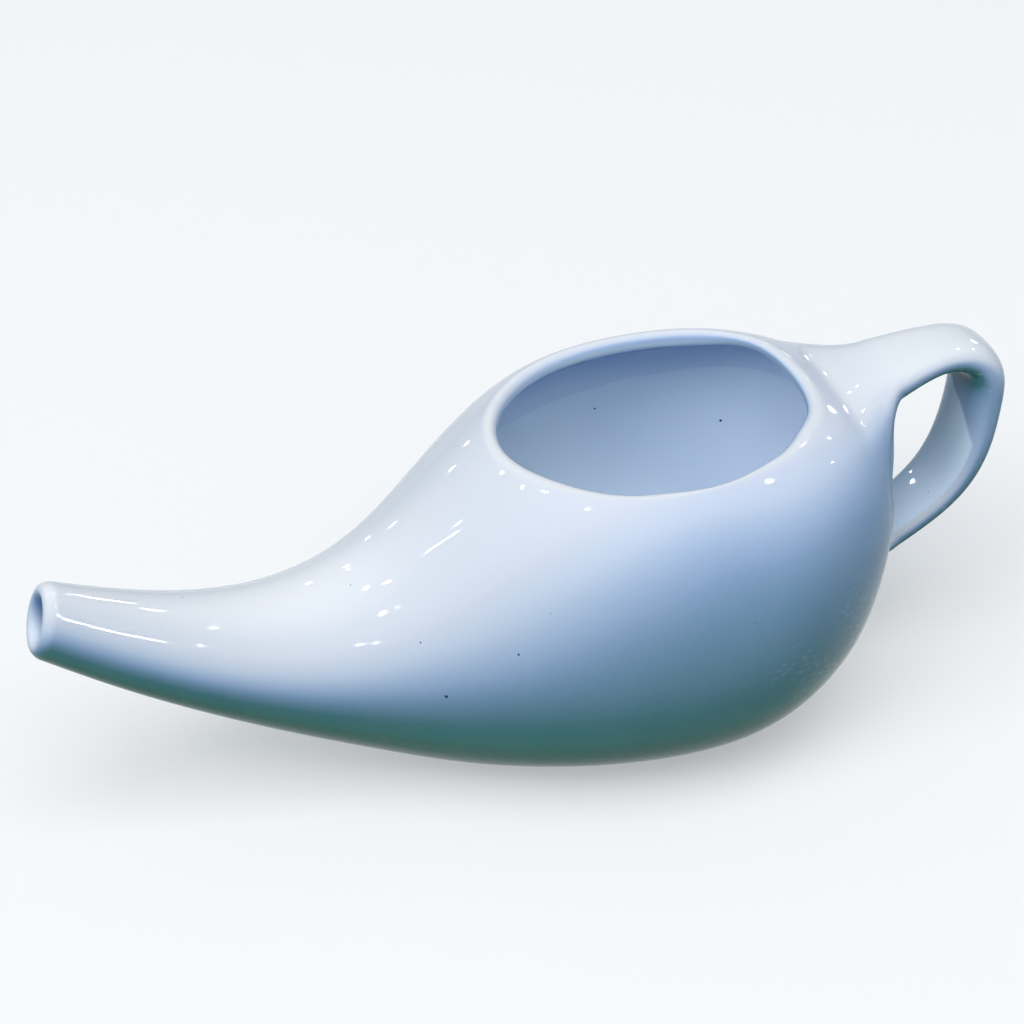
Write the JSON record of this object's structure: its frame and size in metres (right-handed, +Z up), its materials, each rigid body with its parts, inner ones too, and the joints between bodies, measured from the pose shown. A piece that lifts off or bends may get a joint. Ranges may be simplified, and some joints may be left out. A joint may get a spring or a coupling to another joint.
{
  "type": "neti_pot",
  "caption": "Glazed pottery neti pot: teardrop bowl with an open oval mouth, a long hollow spout, a looped strap handle and a dry flat foot",
  "frame": {"origin": "centre of the foot's underside, on the table", "axes": "+Z up, -X along the spout toward its tip, +X toward the handle, XZ is the mirror plane"},
  "size_m": [0.1763, 0.0746, 0.0654],
  "materials": {
    "glaze": "glossy pale blue-white glaze over pottery",
    "bisque": "matt unglazed clay"
  },
  "bodies": {
    "root": {"bowl": "glaze", "spout": "glaze", "handle": "glaze", "foot": "bisque"}
  },
  "joints": []
}
